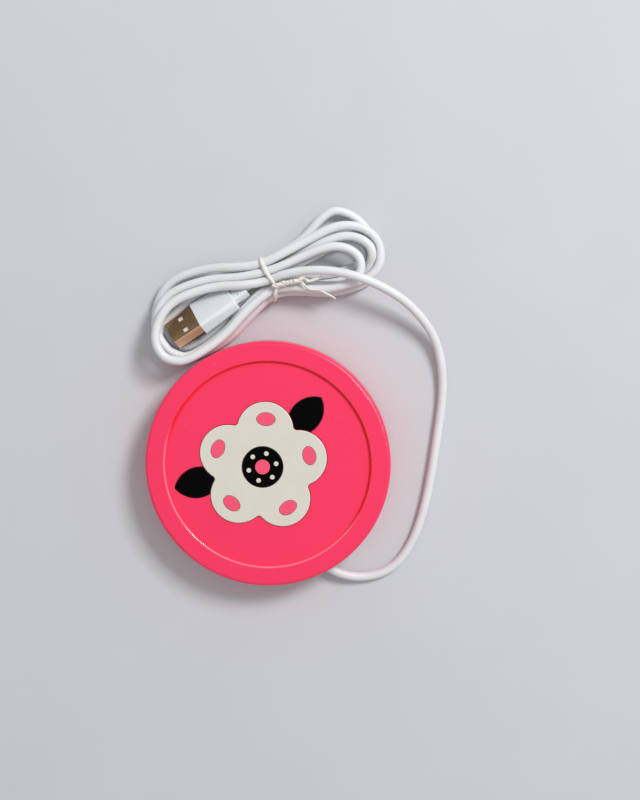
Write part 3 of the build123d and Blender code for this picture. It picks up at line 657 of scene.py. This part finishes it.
tails = [
    [(0.0118, -0.0050, 0.0126, 0.0013), (0.0128, -0.0050, 0.0128, 0.0015),
     (0.0138, -0.0060, 0.0124, 0.0013), (0.0148, -0.0074, 0.0119, 0.0011),
     (0.0168, -0.0076, 0.0121, 0.0012), (0.0204, -0.0080, 0.0118, 0.0013)],
    [(0.0116, -0.0056, 0.0123, 0.0010), (0.0124, -0.0072, 0.0122, 0.0010),
     (0.0129, -0.0094, 0.0117, 0.0008), (0.0145, -0.0107, 0.0113, 0.0009),
     (0.0165, -0.0117, 0.0113, 0.0008), (0.0185, -0.0139, 0.0113, 0.0008),
     (0.0201, -0.0159, 0.0112, 0.0008), (0.0214, -0.0179, 0.0112, 0.0006)]]
for tail in tails:
    line, widths = bend_through(tail)
    ups = [Vector((0.6 * sin(0.4 * number), 0.5 * cos(0.3 * number), 1.0))
           for number in range(len(line))]
    add_strip(tie_mesh, line, ups, widths, tail_thickness)

tie_data = bpy.data.meshes.new("paper_tie")
bmesh.ops.recalc_face_normals(tie_mesh, faces=tie_mesh.faces)
tie_mesh.to_mesh(tie_data)
tie_mesh.free()
for face in tie_data.polygons:
    face.use_smooth = True
tie_data.materials.append(finish("waxed_paper", waxed_paper))
paper_tie = bpy.data.objects.new("paper_tie", tie_data)
bpy.context.collection.objects.link(paper_tie)
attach(paper_tie, "root")
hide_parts("twist_tie")

# ---------------------------------------------------------------- plug
# A USB-A plug: white satin overmould with a flat neck, a folded nickel-plated steel shell with two
# latch holes, and a white tongue that carries four gilt contacts.


def plug_white(place):
    spark = cloud(place, 0.0003, 3.0)
    flow = cloud(place, 0.005, 2.0)
    colour = tint(flow, (0.80, 0.84, 0.88, 1), (0.84, 0.87, 0.90, 1))
    return {"Base Color": tint(spark * 0.15, colour, (0.60, 0.62, 0.64, 1)),
            "Roughness": 0.34 + spark * 0.16,
            "Normal": relief(spark, 0.000016)}


def along_plug(place, axis):
    """How far a place is from the overmould's rear face, in one of the plug's directions."""
    dot = place.node("VectorMath", {"operation": "DOT_PRODUCT"}, {0: place, 1: tuple(axis)}, "Value")
    return dot - plug_back.dot(axis)


def nickel_steel(place):
    lengthwise = place.node("Mapping", {}, {"Vector": place, "Rotation": (0, 0, -plug_heading)})
    rolled = lengthwise.node("Mapping", {}, {"Vector": lengthwise, "Scale": (0.06, 1.0, 1.0)})
    drawn = cloud(rolled, 0.0002, 3.0)
    tarnish = cloud(place, 0.0030, 3.0)
    off_middle = abs(along_plug(place, plug_across))
    narrow_side = band(off_middle, 0.00545, 0.00565)
    # The crease is a thin groove near each fold, sunk by the relief and also darkened as painted shade.
    crease = band(off_middle, 0.00490, 0.00500) * (1 - band(off_middle, 0.00512, 0.00522))
    # Painted light: one nickel plating is painted dark bronze on the broad faces as shade and bright
    # copper on the narrow sides as a reflection, with a tarnish mottle in the bronze.
    broad = tint(tarnish, (0.34, 0.215, 0.105, 1), (0.54, 0.37, 0.21, 1))
    colour = tint(narrow_side, broad, (0.98, 0.57, 0.36, 1))
    return {"Base Color": tint(crease * 0.6 + drawn * 0.2, colour, (0.08, 0.05, 0.03, 1)),
            "Metallic": 1.0,
            "Roughness": 0.24 + drawn * 0.12 + tarnish * 0.08,
            "Normal": relief(drawn * 0.2 - crease, 0.00006)}


def tongue_white(place):
    mottle = cloud(place, 0.002, 3.0)
    return {"Base Color": tint(mottle, (0.76, 0.76, 0.74, 1), (0.84, 0.84, 0.82, 1)),
            "Roughness": 0.34 + mottle * 0.14,
            "Normal": relief(mottle, 0.00001)}


def gold_flash(place):
    worn = cloud(place, 0.0006, 4.0)
    return {"Base Color": tint(worn, (0.66, 0.42, 0.12, 1), (0.82, 0.58, 0.22, 1)),
            "Metallic": 1.0,
            "Roughness": 0.18 + worn * 0.16,
            "Normal": relief(worn, 0.000008)}


paint(finish("plug_white", plug_white), "plug_overmould")
paint(finish("tongue_white", tongue_white), "plug_inner_mould", "plug_insulator")
paint(finish("nickel_steel", nickel_steel), "plug_shell")
paint(finish("gold_flash", gold_flash), "plug_contacts")

# ---------------------------------------------------------------- floor, lamps and camera
# A matt pale table top and soft light from the upper right of the view, with an even sky.
# The camera looks down on the body from above the hank.


def pale_floor(place):
    mottle = cloud(place, 0.05, 4.0)
    return {"Base Color": tint(mottle, (0.60, 0.61, 0.64, 1), (0.64, 0.65, 0.68, 1)),
            "Roughness": 0.85,
            "Specular IOR Level": 0.2}


floor_half = 3.0
floor_data = bpy.data.meshes.new("table_top")
floor_data.from_pydata([(-floor_half, -floor_half, 0), (floor_half, -floor_half, 0),
                        (floor_half, floor_half, 0), (-floor_half, floor_half, 0)], [], [(0, 1, 2, 3)])
floor_data.materials.append(finish("pale_floor", pale_floor))
table_top = bpy.data.objects.new("table_top", floor_data)
bpy.context.collection.objects.link(table_top)

sky = bpy.data.worlds.new("studio")
bpy.context.scene.world = sky
sky.use_nodes = True
sky_light = sky.node_tree.nodes["Background"].inputs
sky_light["Color"].default_value = (1, 1, 1, 1)
sky_light["Strength"].default_value = 0.5


def lamp(name, place, aim, size, power):
    """Square soft box that points at one place."""
    data = bpy.data.lights.new(name, "AREA")
    data.size = size
    data.energy = power
    box = bpy.data.objects.new(name, data)
    bpy.context.collection.objects.link(box)
    box.location = place
    box.rotation_euler = (Vector(aim) - Vector(place)).to_track_quat("-Z", "Y").to_euler()


lamp("key", (0.75, 0.75, 1.05), (0.01, 0.02, 0), 0.42, 15.0)

view_from = Vector((0.036589, 0.068814, 0.562550))
look_at = Vector((0.02017, 0.02484, 0.008))
view_top = Vector((-0.0029, 1, 0))
forward = (look_at - view_from).normalized()
right = forward.cross(view_top).normalized()
upward = right.cross(forward)
camera_data = bpy.data.cameras.new("camera")
camera_data.sensor_fit = "VERTICAL"
camera_data.sensor_height = 24.0
camera_data.lens = 42.52
camera = bpy.data.objects.new("camera", camera_data)
bpy.context.collection.objects.link(camera)
turned = Matrix((right, upward, -forward)).transposed()
camera.matrix_world = Matrix.Translation(view_from) @ turned.to_4x4()
bpy.context.scene.camera = camera
bpy.context.scene.view_settings.view_transform = "Standard"
